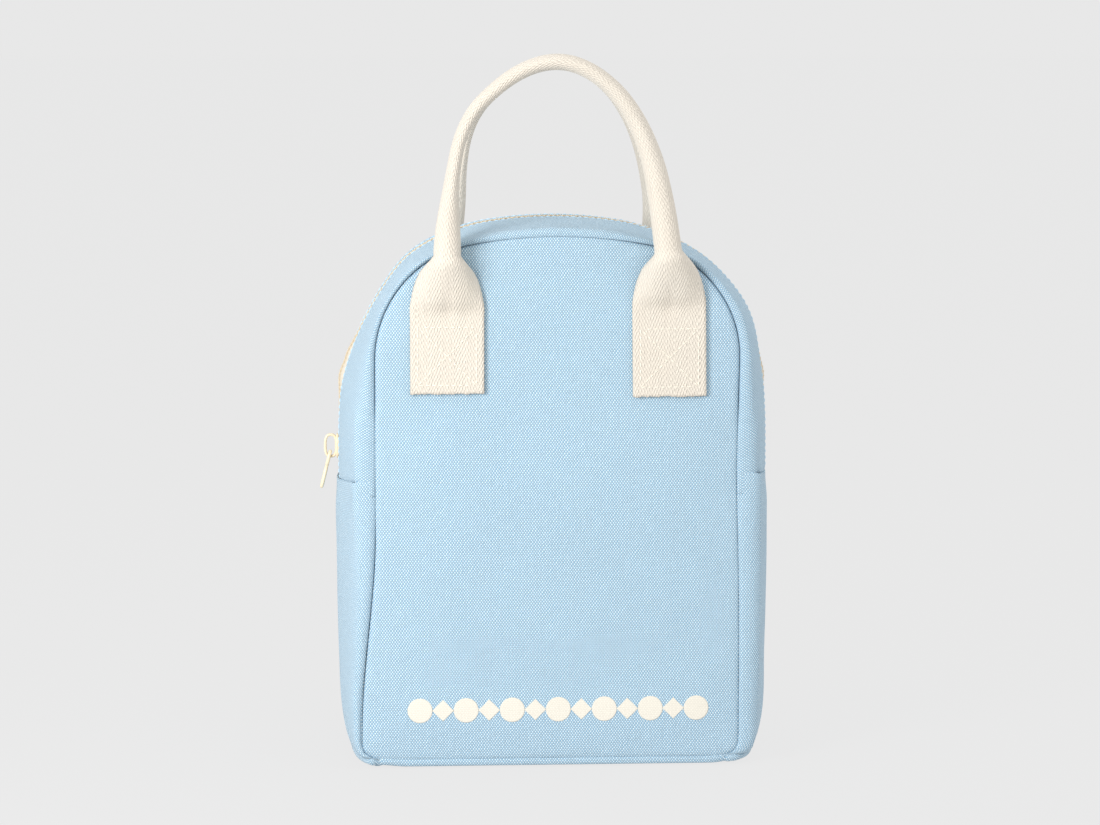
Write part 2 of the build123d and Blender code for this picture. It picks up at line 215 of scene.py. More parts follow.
# a lower corner of the front or back panel, (x, z)
CORNER = ((HALF_WIDTH, PANEL_FOOT), (93.6, 9), (90, 6), (84, 4.7), (76, PANEL_BOTTOM))


def wall_outline(count):
    """The closed outline of the front or back panel: its arch, then its bottom edge with soft corners."""
    points, _ = arch(**SEAM, foot=PANEL_FOOT, count=count)
    corner = spline(CORNER, 12)
    mirrored = corner[::-1] * (-1, 1)
    bottom = np.linspace(CORNER[-1], mirrored[0], 52)
    line = np.vstack([points, corner[1:], bottom[1:-1], mirrored[:-1]])
    line[:, 0] += seam_drift(line[:, 0], line[:, 1])
    return line


OUTLINE = wall_outline(230)
BATCH = 4000


def edge_distance(x, z):
    """Distance of each point from the outline, worked out in batches."""
    a, b = OUTLINE, np.roll(OUTLINE, -1, axis=0)
    p = stacked(np.ravel(x), np.ravel(z))
    d = b - a
    best = np.full(len(p), 1e9)
    for start in range(0, len(p), BATCH):
        q = p[start:start + BATCH, None, :] - a[None]
        t = np.clip((q * d).sum(-1) / (d * d).sum(-1), 0, 1)
        best[start:start + BATCH] = np.linalg.norm(q - t[..., None] * d, axis=-1).min(axis=1)
    return best.reshape(np.shape(x))


def wall_depth(x, z, side):
    """Distance of the front (side -1) or back (side 1) panel's face from the zip's plane."""
    x, z = np.asarray(x, float), np.asarray(z, float)
    d = edge_distance(x, z)
    seed = 11 if side < 0 else 31
    roll = 2.8 - 2.8 * groove(x, z) * np.exp(-d / 0.9)
    pillow = 2.2 * (1 - np.exp(-d / 26))
    pucker = 0.32 * ripple(x, z, 11, seed) * np.exp(-d / 9) * smooth(d / 2)
    swell = (0.75 * ripple(x, z, 62, seed + 1) + 0.22 * ripple(x, z, 24, seed + 2)) * smooth(d / 22)
    # the handles pull the cloth into a shallow fold from each webbing end
    pull = sum(0.5 * bell((x - c) / 24) * smooth((z - 236) / 24) for c in (-57.5, 57.5))
    return SEAM_DEPTH + roll + pillow + pucker + swell + pull * smooth(d / 8)


# ---------------------------------------------------------------- making meshes
def to_object(name, points, faces, uv=None, outward=None, shade=True):
    """A mesh object from points and uvs in mm. Its faces turn away from the point outward."""
    mesh = bpy.data.meshes.new(name)
    mesh.from_pydata([tuple(p) for p in np.asarray(points, float) * MM], [], faces)
    mesh.update()
    if outward is not None:
        normals = np.array([f.normal for f in mesh.polygons])
        centres = np.array([f.center for f in mesh.polygons])
        if (normals * (centres - np.array(outward) * MM)).sum() < 0:
            mesh.flip_normals()
    if uv is not None:
        layer = mesh.uv_layers.new(name="cloth")
        table = np.asarray(uv, float) * MM
        loops = np.zeros(len(mesh.loops), np.int64)
        mesh.loops.foreach_get("vertex_index", loops)
        layer.data.foreach_set("uv", table[loops].astype(np.float32).ravel())
    if shade:
        mesh.polygons.foreach_set("use_smooth", [True] * len(mesh.polygons))
    obj = bpy.data.objects.new(name, mesh)
    bpy.context.scene.collection.objects.link(obj)
    return obj


def grid_faces(rows, columns, closed=False, first=0):
    faces = []
    for i in range(rows - 1):
        for j in range(columns - (0 if closed else 1)):
            k = (j + 1) % columns
            faces.append((first + i * columns + j, first + i * columns + k,
                          first + (i + 1) * columns + k, first + (i + 1) * columns + j))
    return faces


def tube_faces(rows, columns, first=0):
    """Faces of a closed tube with both ends filled."""
    last = first + (rows - 1) * columns
    caps = [tuple(range(first + columns - 1, first - 1, -1)), tuple(range(last, last + columns))]
    return grid_faces(rows, columns, closed=True, first=first) + caps


def dome_faces(rows, columns, first=0):
    """Faces of rings one inside the other, closed by one point that follows the last ring."""
    last = first + (rows - 1) * columns
    fan = [(last + j, last + (j + 1) % columns, last + columns) for j in range(columns)]
    return grid_faces(rows, columns, closed=True, first=first) + fan


def grid(name, points, uv, outward=(0, 0, MID_Z)):
    rows, columns = points.shape[:2]
    return to_object(name, points.reshape(-1, 3), grid_faces(rows, columns), uv.reshape(-1, 2), outward)


def recalc(obj):
    """Turns the faces of closed shapes outwards."""
    mesh = bmesh.new()
    mesh.from_mesh(obj.data)
    bmesh.ops.recalc_face_normals(mesh, faces=mesh.faces)
    mesh.to_mesh(obj.data)
    mesh.free()
    return obj


def apply(obj):
    bpy.context.view_layer.update()
    mesh = bpy.data.meshes.new_from_object(obj.evaluated_get(bpy.context.evaluated_depsgraph_get()))
    obj.modifiers.clear()
    obj.data = mesh
    return obj


def thicken(obj, thickness, offset=-1.0):
    solid = obj.modifiers.new("thickness", "SOLIDIFY")
    solid.thickness = thickness * MM
    solid.offset = offset
    solid.use_quality_normals = True
    return apply(obj)


def place(obj, slot, nodes=(), body=None, blend=None, finish=None):
    if nodes:
        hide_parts(*nodes)
    obj.data.materials.clear()
    obj.data.materials.append(MATERIALS[finish or slot])
    if blend:
        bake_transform(obj)
    else:
        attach(obj, body)
    return obj


# what carries a piece of the front and of the back
CARRIER = {-1: dict(blend=MOUTH_BLEND), 1: dict(body="bag")}


# ---------------------------------------------------------------- materials
class Graph:
    """A small helper to write node materials as sums."""

    def __init__(self, name, roughness, **constants):
        self.material = bpy.data.materials.new(name)
        self.material.use_nodes = True
        self.tree = self.material.node_tree
        self.shader = self.tree.nodes["Principled BSDF"]
        self.shader.inputs["Roughness"].default_value = roughness
        for key, value in constants.items():
            self.shader.inputs[key.replace("_", " ")].default_value = value

    def node(self, kind, **settings):
        node = self.tree.nodes.new(kind)
        for key, value in settings.items():
            setattr(node, key, value)
        return node

    def link(self, value, socket):
        if isinstance(value, bpy.types.NodeSocket):
            self.tree.links.new(value, socket)
        else:
            socket.default_value = value

    def math(self, operation, *values, clamp=False):
        node = self.node("ShaderNodeMath", operation=operation, use_clamp=clamp)
        for value, socket in zip(values, node.inputs):
            self.link(value, socket)
        return node.outputs[0]

    def plus(self, a, b, clamp=False):
        return self.math("ADD", a, b, clamp=clamp)

    def minus(self, a, b):
        return self.math("SUBTRACT", a, b)

    def times(self, a, b):
        return self.math("MULTIPLY", a, b)

    def line(self, value, start, slope):
        return self.plus(start, self.times(value, slope))

    def mix(self, share, a, b, kind="MIX"):
        node = self.node("ShaderNodeMix", data_type="RGBA", blend_type=kind)
        self.link(share, node.inputs["Factor"])
        for value, socket in ((a, node.inputs[6]), (b, node.inputs[7])):
            self.link(value if isinstance(value, bpy.types.NodeSocket) else (*value, 1), socket)
        return node.outputs[2]

    def tint(self, colour, shade):
        """The colour made darker by a grey value."""
        grey = self.node("ShaderNodeCombineColor")
        for socket in grey.inputs[:3]:
            self.link(shade, socket)
        return self.mix(1.0, colour, grey.outputs[0], "MULTIPLY")

    def cloth_uv(self):
        split = self.node("ShaderNodeSeparateXYZ")
        self.tree.links.new(self.node("ShaderNodeUVMap", uv_map="cloth").outputs[0], split.inputs[0])
        return split.outputs[0], split.outputs[1]

    def place_uv(self, u, v):
        join = self.node("ShaderNodeCombineXYZ")
        self.link(u, join.inputs[0])
        self.link(v, join.inputs[1])
        return join.outputs[0]

    def object_point(self):
        return self.node("ShaderNodeTexCoord").outputs["Object"]

    def noise(self, vector, scale, detail=3.0, roughness=0.55):
        node = self.node("ShaderNodeTexNoise", noise_dimensions="3D")
        self.link(vector, node.inputs["Vector"])
        node.inputs["Scale"].default_value = scale
        node.inputs["Detail"].default_value = detail
        node.inputs["Roughness"].default_value = roughness
        return node.outputs["Fac"]

    def wave(self, value, period):
        return self.math("SINE", self.math("MULTIPLY", value, 2 * math.pi / period))

    def finish(self, colour, height, depth_mm, roughness=None):
        self.tree.links.new(colour, self.shader.inputs["Base Color"])
        bump = self.node("ShaderNodeBump")
        bump.inputs["Strength"].default_value = 1.0
        bump.inputs["Distance"].default_value = depth_mm * MM
        self.tree.links.new(height, bump.inputs["Height"])
        self.tree.links.new(bump.outputs[0], self.shader.inputs["Normal"])
        if roughness is not None:
            self.tree.links.new(roughness, self.shader.inputs["Roughness"])
        return self.material


def scaled(colour, factor):
    return tuple(min(1.0, c * factor) for c in colour)


def woven(name, colour, dark, pitch_u, pitch_v, depth, painted_shade, slub, mottle, **constants):
    """Plain weave: yarns pitch apart in u and v (mm) go over and under each other; the colour carries painted
    shade where the yarns dip.
    """
    g = Graph(name, 0.88, **constants)
    u, v = g.cloth_uv()
    at = g.place_uv(u, v)
    waver = g.times(g.minus(g.noise(at, 260, 2), 0.5), 0.0009)
    waves = [g.wave(g.plus(u, waver), 2 * pitch_u * MM), g.wave(g.minus(v, waver), 2 * pitch_v * MM)]
    lobes = g.times(*waves)
    over = g.plus(g.times(lobes, 1.4), 0.5, clamp=True)
    bulge = g.math("POWER", g.math("ABSOLUTE", lobes), 0.55)
    along_v = g.noise(g.place_uv(g.times(u, 1 / (pitch_u * MM)), g.times(v, 90)), 1.0, 2)
    along_u = g.noise(g.place_uv(g.times(u, 90), g.times(v, 1 / (pitch_v * MM))), 1.0, 2)
    yarn = g.plus(g.times(along_v, over), g.times(along_u, g.minus(1, over)))
    yarn = g.line(yarn, 1 - slub, 2 * slub)
    patch = g.line(g.noise(g.object_point(), 22, 4), 1 - mottle / 2, mottle)
    # slub and mottle are the cloth's own uneven colour; the darkening where the yarns dip between crossings
    # is painted shade
    shade = g.times(g.times(yarn, patch), g.line(bulge, 1 - painted_shade, painted_shade))
    fuzz = g.noise(at, 2400, 2)
    height = g.plus(g.plus(g.times(bulge, 0.8), g.times(over, 0.3)), g.times(fuzz, 0.35))
    return g.finish(g.tint(g.mix(over, dark, colour), shade), height, depth)


def twill(name, colour, column, rib, depth, painted_shade, **constants):
    """Herringbone twill: slanting ribs that turn back at each column, with painted shade between the ribs."""
    g = Graph(name, 0.85, **constants)
    u, v = g.cloth_uv()
    at = g.place_uv(u, v)
    waver = g.times(g.minus(g.noise(at, 180, 2), 0.5), 0.0012)
    # u is moved by half a column, and by many whole ones so that it stays positive
    zigzag = g.math("PINGPONG", g.plus(u, (200 + 0.5) * column * MM), column * MM)
    slant = g.plus(g.plus(g.times(v, 0.42), zigzag), waver)
    ribs = g.line(g.wave(slant, rib * MM), 0.5, 0.5)
    dashes = g.wave(g.minus(v, g.times(zigzag, 0.8)), 2.1 * rib * MM)
    ribs = g.times(ribs, g.line(dashes, 0.78, 0.22))
    yarns = g.line(g.wave(u, 0.8 * MM), 0.5, 0.5)
    slub = g.noise(g.place_uv(g.times(u, 900), g.times(v, 60)), 1.0, 3)
    patch = g.noise(g.object_point(), 30, 4)
    # the darkening between the ribs is painted shade; the slub is the yarn's own uneven colour
    shade = g.times(g.line(ribs, 1 - painted_shade, painted_shade), g.line(slub, 0.92, 0.16))
    warmer = scaled((colour[0], colour[1] * 0.96, colour[2] * 0.9), 0.97)
    fuzz = g.noise(at, 2000, 2)
    height = g.plus(g.plus(g.times(ribs, 0.8), g.times(yarns, 0.25)), g.times(fuzz, 0.3))
    return g.finish(g.tint(g.mix(g.times(patch, 0.5), colour, warmer), shade), height, depth)


def solid(name, colour, roughness, grain, depth, spread=0.05, **constants):
    """Moulded, painted or twisted stuff: fine grain, uneven colour and uneven roughness."""
    g = Graph(name, roughness, **constants)
    point = g.object_point()
    fine = g.noise(point, grain, 3)
    broad = g.noise(point, grain / 9, 3)
    share = g.plus(g.times(fine, 0.5), g.times(broad, 0.5))
    tone = g.mix(share, scaled(colour, 1 - 1.6 * spread), scaled(colour, 1 + 1.6 * spread))
    rough = g.line(broad, roughness - 0.08, 0.16)
    return g.finish(tone, fine, depth, roughness=rough)


CREAM = (0.80, 0.74, 0.65)
YARNS = (0.72, 0.98)            # how far apart the canvas's yarns lie, across and along, in mm
MATERIALS = {
    "canvas": woven("canvas", (0.73, 0.885, 0.975), (0.27, 0.48, 0.66), *YARNS, 0.30, 0.36, 0.14, 0.06,
                    Sheen_Weight=0.15, Sheen_Roughness=0.5, Specular_IOR_Level=0.2),
    "lining": woven("lining", (0.62, 0.68, 0.72), (0.57, 0.63, 0.67), 0.35, 0.35, 0.04, 0.08, 0.03, 0.06,
                    Coat_Weight=0.25, Coat_Roughness=0.4, Specular_IOR_Level=0.35),
    "webbing": twill("webbing", CREAM, 6.3, 1.45, 0.42, 0.17,
                     Sheen_Weight=0.2, Sheen_Roughness=0.5, Specular_IOR_Level=0.2),
    "thread": solid("thread", (0.84, 0.80, 0.70), 0.75, 2600, 0.05, Specular_IOR_Level=0.25),
    "blue_thread": solid("blue_thread", (0.50, 0.69, 0.82), 0.75, 2600, 0.05, Specular_IOR_Level=0.25),
    "zip_tape": twill("zip_tape", (0.74, 0.68, 0.58), 1.2, 0.9, 0.08, 0.15, Specular_IOR_Level=0.25),
    "zip_teeth": solid("zip_teeth", (0.66, 0.56, 0.40), 0.42, 900, 0.02, Specular_IOR_Level=0.45),
    "slider_metal": solid("slider_metal", (0.80, 0.69, 0.49), 0.38, 500, 0.02, 0.03,
                          Coat_Weight=0.4, Coat_Roughness=0.25),
    "print_ink": woven("print_ink", (0.82, 0.78, 0.69), (0.76, 0.72, 0.63), *YARNS, 0.12, 0.12, 0.04, 0.05,
                       Specular_IOR_Level=0.3),
}

# ---------------------------------------------------------------- front and back panels
RING_INSETS = (0, 0.25, 0.6, 1.0, 1.6, 2.4, 3.4, 4.8, 6.4, 8.4, 11, 14, 17.5, 21.5, 26, 30, 34.5, 39, 43.5,
               48, 52.5, 57, 61.5, 66, 70.5, 75, 79, 83, 86.5, 89.5, 92)


def make_wall(name, side, inset=0.0):
    """A panel as rings round its middle: each ring is the outline drawn towards the middle."""
    centre = np.array([0.0, MID_Z])
    shares = [(1 - ring / HALF_WIDTH) * (1 - inset / HALF_WIDTH) for ring in RING_INSETS]
    flat = np.vstack([centre + (OUTLINE - centre) * share for share in shares] + [centre])
    y = side * (wall_depth(flat[:, 0], flat[:, 1], side) - inset)
    faces = dome_faces(len(RING_INSETS), len(OUTLINE))
    return to_object(name, stacked(flat[:, 0], y, flat[:, 1]), faces, flat, (0, 0, MID_Z))


front_nodes = ["front_panel_lower", "front_panel_upper"]
place(thicken(make_wall("front_cloth", -1), CANVAS), "canvas", front_nodes, **CARRIER[-1])
place(thicken(make_wall("back_cloth", 1), CANVAS), "canvas", ["back_panel"], **CARRIER[1])


# ---------------------------------------------------------------- gusset strips, tapes and side panels
def across_to(edge, count):
    """(distance from the zip's plane, share of the bulge) from the seam to edge, closer near the seam."""
    fine = spline(ACROSS, 400)
    fine = fine[fine[:, 0] > edge - 1e-6] if edge > 0 else fine
    along = length_along(fine)
    at = along[-1] * np.linspace(0, 1, count) ** 1.35
    return sample(at, along, fine)


def seam_pull(y, x, z):
    """Where the groove is shallow, the first millimetres beside the seam aren't pulled in so deep."""
    return np.where(y > 50, 57.8 - (57.8 - y) * np.where(y < 57.8, groove(x, z), 1), y)


def strip_surface(side, across, inset, count, seed=0, crumple=0.5, sunk=0.0):
    """Points of a band over the arch. across is (y, share); inset is how deep each column lies."""
    low, low_n = seam_arch(ARCH_FOOT, count)
    high, high_n = crest_arch(ARCH_FOOT, count)
    along = length_along(high)
    s, y = along[:, None], across[None, :, 0]
    share = across[None, :, 1]
    part = share[..., None]
    flat = low[:, None, :] * (1 - part) + high[:, None, :] * part
    normal = low_n[:, None, :] * (1 - part) + high_n[:, None, :] * part
    band = np.sin(np.pi * np.clip(share, 0, 1)) ** 0.7
    tucks = ripple(s, 0.35 * y, 13, 51 + seed)
    sag = ripple(s, y, 42, 61 + seed)
    out = (tucks * 0.30 + sag * 0.55) * crumple * band
    # a rolled edge stands up beside the seam
    out = out + 1.1 * bell((share - 0.2) / 0.14) * smooth(share / 0.06)
    # it tucks in behind the pockets' mouths
    hem = np.where(flat[..., 0] < 0, HEMS[-1], HEMS[1]) - HEM_DIP * share ** 2
    out = out - 1.9 * smooth((hem + 2.5 - flat[..., 1]) / 4.5) * smooth(share / 0.12)
    # a crease runs down on the right
    crease = bell((share - 0.62) / 0.07) * smooth((186 - flat[..., 1]) / 24)
    out = out - 1.1 * crease * (flat[..., 0] > 0)
    out = out - np.asarray(inset)
    flat = flat + normal * out[..., None]
    depth = seam_pull(y, flat[..., 0], flat[..., 1]) - sunk * smooth((y - 40) / 12)
    points = stacked(flat[..., 0], side * depth, flat[..., 1])
    return points, stacked(s, lengths_across(points))


ARCH_COUNT = 280


def make_strip(name, side):
    """Canvas from the seam to the zip, where its edge is turned under."""
    outer = across_to(STRIP_EDGE, 34)
    turned = ((8.6, 0.987), (8.35, 0.988), (8.5, 0.988), (9.2, 0.987), (11, 0.98), (14, 0.965), (17, 0.945))
    across = np.vstack([outer, turned])
    inset = np.concatenate([np.zeros(len(outer)), [0.25, 0.9, 1.6, 2.0, 2.1, 2.1, 2.1]])
    points, uv = strip_surface(side, across, inset, ARCH_COUNT, seed=side)
    return grid(name, points, uv)


def zip_inset(x, z):
    """Depth of the tape in the canvas: straight along the slider's run, then near the surface, once proud."""
    free = smooth((z - 197) / 12)
    inset = (np.abs(x) - TRACK) * (1 - free) + free
    bulge = np.where(x < 0, bell((z - 211) / 9), bell((z - 208) / 12))
    return inset - np.where(x < 0, 1.5, 1.1) * bulge


def make_tape(name, side):
    y = np.array([13.0, 11, 9, 7, 5, 3.4, 2.4, 1.7, 1.2])
    across = stacked(y, 1.0)
    flat, _ = crest_arch(ARCH_FOOT, ARCH_COUNT)
    sag = np.array([1.2, 1.0, 0.7, 0.2, 0, 0, 0, 0, 0])
    lifted = zip_inset(flat[:, 0], flat[:, 1])[:, None]
    inset = lifted + sag[None] * np.clip(1.8 - lifted, 0.1, 2)
    points, uv = strip_surface(side, across, inset, ARCH_COUNT, crumple=0)
    return thicken(grid(name, points, uv[..., ::-1]), 0.5, 0)


for side, label in SIDES:
    strip = thicken(make_strip(f"{label}_gusset_cloth", side), STRIP)
    place(strip, "canvas", [f"{label}_gusset_strip"], **CARRIER[side])
for side, label in SIDES:
    place(make_tape(f"{label}_tape", side), "zip_tape", [f"{label}_zip_tape"], **CARRIER[side])


def seam_edge(x_side, z):
    """Half-width of the front and back panels at height z, where a side piece is sewn to them."""
    xs, zs = zip(*CORNER[::-1])
    edge = np.interp(z, zs, xs)
    return edge + x_side * seam_drift(x_side * edge, z)


# half-width of the bag in the middle of its sides, as (height, half-width): of the pockets and of the panels
POCKET_SHAPE = ((4.0, 106.4), (9, 109.4), (20, 111.9), (34, 113.2), (60, 114.0), (90, 114.4), (120, 114.7),
                (152, 114.9))
SIDE_SHAPE = ((4.0, 103.5), (20, 107.5), (60, 109), (100, 109.5), (130, 110.5), (149, 111.6))
SIDE_FOOT, SIDE_TOP = 6, 146    # heights of the side panels' and their linings' ends


def side_reach(x_side, z, share, shape):
    """Half-width of a side at height z, share of the way from its seam to its middle."""
    line = spline(shape, 160)
    return seam_edge(x_side, z) * (1 - share) + np.interp(z, line[:, 0], line[:, 1]) * share


def both_halves(count):
    """The way across a whole side, from the front seam to the back seam: (signed distance, share)."""
    half = across_to(0.0, count)
    return np.vstack([half * (-1, 1), half[-2::-1]])


def make_side(name, x_side, shape, rows, seed, gap=0.0, sunk=0.0, fold=False):
    """A side panel or pocket, from seam to seam. rows are heights; fold adds the turned-in hem."""
    across = both_halves(30)
    y, share = across[:, 0], across[:, 1][None]
    heights = np.array(rows, float)
    insets = np.zeros(len(heights))
    if fold:
        hem = heights[-1] + np.array([0.4, 0.45, 0.3, -1.2, -4, -9, -12])
        heights = np.concatenate([heights, hem])
        insets = np.concatenate([insets, [0.3, 0.8, 1.3, 1.5, 1.6, 1.6, 1.6]])
    out = side_reach(x_side, heights[:, None], share, shape)
    s = length_along(stacked(y, share[0] * 20))
    z2, s2 = np.meshgrid(heights, s, indexing="ij")
    band = np.sin(np.pi * np.clip(share * 0.86, 0, 1)) ** 0.7
    wave = (0.55 * ripple(s2, z2, 44, 71 + seed) + 0.18 * ripple(s2, z2, 16, 81 + seed)) * band
    out = out + wave * (1 - 0.8 * smooth((24 - z2) / 18))
    out = out + bell((share - 0.2) / 0.14) * smooth(share / 0.06) * smooth((z2 - 6) / 30)
    out = out - gap * smooth(share / 0.1)
    if fold:
        # the hem stands off the gusset at its ends and hugs it in the middle
        middle = smooth((share - 0.5) / 0.4)
        out = out + smooth((z2 - heights.max() + 16) / 14) * (0.9 * smooth(share / 0.12) - 1.7 * middle)
    mouth = smooth((z2 - 112) / 32) if fold else 0 * z2
    dip = mouth * (-HEM_DIP * share ** 2 + 0.35 * ripple(s2, z2 * 0.2, 34, 91 + seed) * band)
    depth = np.sign(y)[None] * (seam_pull(np.abs(y)[None], x_side * out, z2)
                                - sunk * smooth((np.abs(y)[None] - 40) / 12))
    # layers of the hem lie under one another, square to the cloth
    dx, dy = np.gradient(out, axis=1), np.gradient(depth, axis=1)
    size = np.hypot(dx, dy) + 1e-9
    out, depth = out - insets[:, None] * dy / size, depth + insets[:, None] * dx / size
    points = stacked(x_side * out, depth, z2 + dip)
    return grid(name, points, stacked(lengths_across(points), z2))


for x_side, label in ENDS:
    hem = HEMS[x_side]
    near_hem = hem - np.array([9, 6, 3, 1.2, 0])
    rows = np.concatenate([[5.2, 6.5, 8.5, 12], np.linspace(16, hem - 12, 30), near_hem])
    pocket = make_side(f"{label}_pocket_cloth", x_side, POCKET_SHAPE, rows, x_side, fold=True)
    place(thicken(pocket, POCKET), "canvas", [f"{label}_side_pocket"], blend=MOUTH_BLEND)
    rows = np.linspace(SIDE_FOOT, SIDE_TOP, 36)
    panel = make_side(f"{label}_side_cloth", x_side, SIDE_SHAPE, rows, 5 + x_side, 1.2, 1.2)
    place(thicken(panel, STRIP), "canvas", [f"{label}_side_panel"], blend=MOUTH_BLEND)

# ---------------------------------------------------------------- base
BASE_SEAM = 5.4                 # height where the walls are sewn to the base
BASE_EDGE_RINGS = 7             # rings of its turned-up edge
BASE_LOWEST = 1.05              # middle of its cloth, where it stands on the floor


def make_base():
    """Rings: from inside the walls, out over a small roll at the seam, under it, and flat to the middle."""
    half = across_to(0.0, 26)[1:]
    share = half[:, 1]
    ends = {}
    for x_side in (-1, 1):
        x = side_reach(x_side, np.full(len(half), BASE_SEAM), share, POCKET_SHAPE)
        ends[x_side] = stacked(x_side * x, half[:, 0])
    run = np.linspace(-1, 1, 66)[:, None]
    front = (ends[1][0] * (1 + run) + ends[-1][0] * (1 - run)) / 2 * (1, 0) + (0, -56.9)
    right = np.vstack([ends[1] * (1, -1), ends[1][-2::-1]])
    left = np.vstack([ends[-1], ends[-1][-2::-1] * (1, -1)])
    ring = np.vstack([front[1:-1], right, front[-2:0:-1] * (1, -1), left])
    ring = even(np.vstack([ring, ring[:1]]), 340)[:-1]
    tangent = np.roll(ring, -2, axis=0) - np.roll(ring, 2, axis=0)
    normal = stacked(tangent[:, 1], -tangent[:, 0])
    normal /= np.linalg.norm(normal, axis=1)[:, None]
    corner = smooth((np.abs(ring[:, 0]) - 76) / 16) * smooth((np.abs(ring[:, 1]) - 34) / 20)
    end = smooth((np.abs(ring[:, 0]) - 84) / 10)
    levels = ((3.6, 6.6), (1.8, 5.8), (0.3, 5.2), (-0.4, 4.6), (-0.5, 3.4), (-0.2, 2.0), (0.5, 0.9),
              (1.8, 0.25), (4.5, 0.06), (9, 0.1), (15, 0.3), (24, 0.6), (34, 0.8), (44, 1.0), (52, 1.1))
    points, uv = [], []
    # how far out each ring lies when the panel is laid flat
    reach = [-inset for inset, _ in levels]
    for i in range(BASE_EDGE_RINGS - 1, -1, -1):
        (a, b), (c, d) = levels[i], levels[i + 1]
        reach[i] = reach[i + 1] + math.hypot(a - c, b - d)
    for (inset, height), out in zip(levels, reach):
        if inset < 10:
            low = smooth((inset + 0.4) / 1.6) * (height < 5)
            flat = ring - normal * (inset + (2.2 * corner + 2.0 * end)[:, None] * low * (5 - height) / 5)
        else:
            flat = ring * (1 - inset / np.array([112.0, 57.5]))
        lift = height + 0.7 * corner * smooth((5 - inset) / 5) * (height < 6)
        lift = lift + 0.2 * ripple(flat[:, 0], flat[:, 1], 30, 17) * (inset > 10)
        points.append(np.column_stack([flat, np.maximum(lift, BASE_LOWEST)]))
        uv.append(ring + normal * out if inset < 10 else flat)
    points = np.vstack(points + [(0, 0, 2 * BASE_LOWEST)])
    uv = np.vstack(uv + [(0, 0)])
    return to_object("base_cloth", points, dome_faces(len(levels), len(ring)), uv, (0, 0, MID_Z))


place(thicken(make_base(), CANVAS), "canvas", ["base_panel"], "bag")

# ---------------------------------------------------------------- linings and the inside pocket
LINING_NODES = {-1: ["front_lining_lower", "front_lining_upper"], 1: ["back_lining"]}
LINING_SUNK = 3.6               # how much nearer to the middle the linings' outer edges lie
for side, label in SIDES:
    lining = thicken(make_wall(f"{label}_lining", side, 1.7), LINING)
    place(lining, "lining", LINING_NODES[side], **CARRIER[side])
    outer = across_to(STRIP_EDGE, 24)[1:]
    inset = np.linspace(1.8, 4.6, len(outer))
    points, uv = strip_surface(side, outer, inset, 160, crumple=0.6, seed=side, sunk=LINING_SUNK)
    strip = thicken(grid(f"{label}_gusset_lining_cloth", points, uv), LINING)
    place(strip, "lining", [f"{label}_gusset_lining"], **CARRIER[side])
lining_shape = [(z, x - 2.2) for z, x in SIDE_SHAPE]
for x_side, label in ENDS:
    rows = np.linspace(SIDE_FOOT, SIDE_TOP, 30)
    panel = make_side(f"{label}_lining_cloth", x_side, lining_shape, rows, 9 + x_side, 1.8, LINING_SUNK)
    place(thicken(panel, LINING), "lining", [f"{label}_side_lining"], blend=MOUTH_BLEND)


def base_lining():
    x, y = np.meshgrid(np.linspace(-1, 1, 60), np.linspace(-1, 1, 34), indexing="ij")
    wide = x * (96 + 8 * (1 - y ** 2))
    height = 2.4 + 0.5 * ripple(x * 95, y * 55, 30, 5) + 2 * np.abs(y) ** 8
    points = stacked(wide, y * 55, height)
    return thicken(grid("base_lining_cloth", points, points[..., :2], (0, 0, -500)), LINING)


place(base_lining(), "lining", ["base_lining"], "bag")

POCKET_HALF, POCKET_LOW, POCKET_TOP = 62, 42, 132       # the inside pocket: half-width and heights


def inner_pocket():
    """A patch on the back lining that stands off it towards its middle."""
    x, z = np.meshgrid(np.linspace(-POCKET_HALF, POCKET_HALF, 50), np.linspace(POCKET_LOW, POCKET_TOP, 40),
                       indexing="ij")
    edge = np.minimum(np.minimum(POCKET_HALF - np.abs(x), z - POCKET_LOW), 20) / 20
    y = wall_depth(x, z, 1) - 2.9 - 2.6 * smooth(edge + 0.15 * (z > POCKET_TOP - 4))
    return thicken(grid("inner_pocket_cloth", stacked(x, y, z), stacked(x, z), (0, 200, 90)), 0.5)


place(inner_pocket(), "lining", ["inner_pocket"], "bag")


# ---------------------------------------------------------------- handles
# the middle of the webbing, (x, z), from its left sewn end over the top to its right one
GRIP_LINE = ((-57.3, 196.5), (-57.3, 215), (-57.3, 240), (-57.4, 262), (-56.8, 285), (-54.6, 308),
             (-50.8, 327), (-44.0, 341.0), (-34.0, 351.5), (-22.5, 360.0), (-11, 365.0), (0, 366.3),
             (10.5, 364.0), (21.5, 357.6), (32.0, 347.2), (41.0, 332.5), (47.6, 315), (51.8, 296),
             (54.6, 278), (56.4, 262), (57.0, 240), (57.2, 215), (57.4, 194.5))
GRIP_DEPTH = 60.2               # from the zip's plane to the webbing above the panel
# along a handle: how wide its rolled webbing is seen from the front, against a round roll
GRIP_WIDE = ((0, 0.18, 0.215, 0.26, 0.30, 0.36, 0.42, 0.50, 0.58, 0.66, 0.715, 0.79, 0.85, 1),
             (1, 1.0, 0.88, 0.52, 0.38, 0.37, 0.44, 0.48, 0.52, 0.66, 0.82, 0.95, 1.0, 1))


